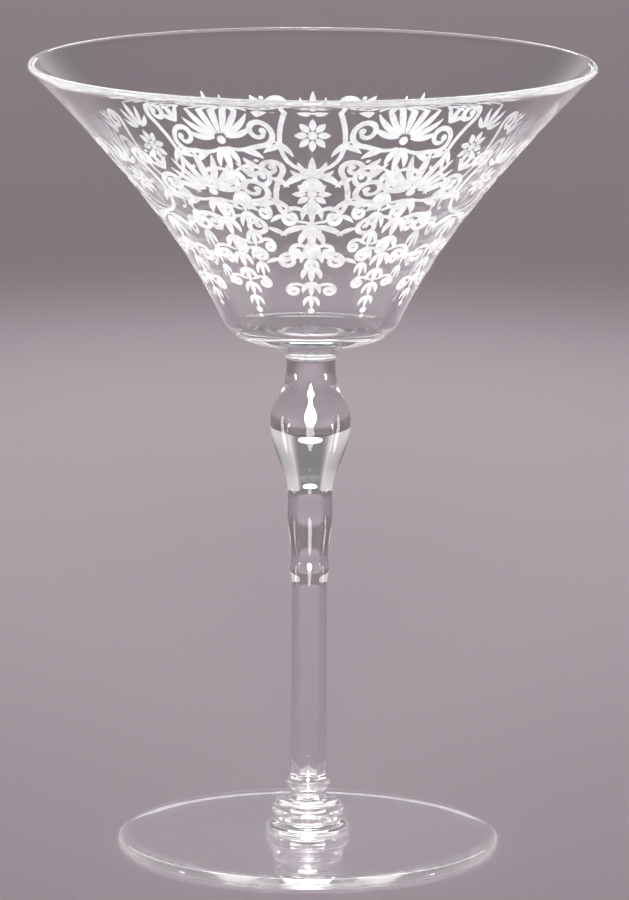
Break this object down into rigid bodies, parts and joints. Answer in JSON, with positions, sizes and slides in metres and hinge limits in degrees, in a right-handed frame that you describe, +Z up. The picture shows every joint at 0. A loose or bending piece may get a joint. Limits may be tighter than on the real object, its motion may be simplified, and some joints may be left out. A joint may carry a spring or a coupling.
{
  "type": "sherbet glass",
  "caption": "Tall footed dessert and champagne glass: thin flared bowl with a frosted etched band, six-sided baluster stem, ring wafers and a flat disc foot.",
  "frame": {"origin": "centre of the foot's underside, on the surface that the glass stands on", "axes": "+Z up along the stem, -Y towards the front, where one flat panel of the stem faces"},
  "size_m": [0.1008, 0.1008, 0.142],
  "materials": {
    "clear_glass": "clear colourless soda-lime glass, fire-polished",
    "etched_glass": "white frosted acid etching on the outside of the bowl"
  },
  "bodies": {
    "root": {"foot": "clear_glass", "lower_wafer": "clear_glass", "upper_wafer": "clear_glass", "stem": "clear_glass", "bowl": "clear_glass"}
  },
  "joints": []
}
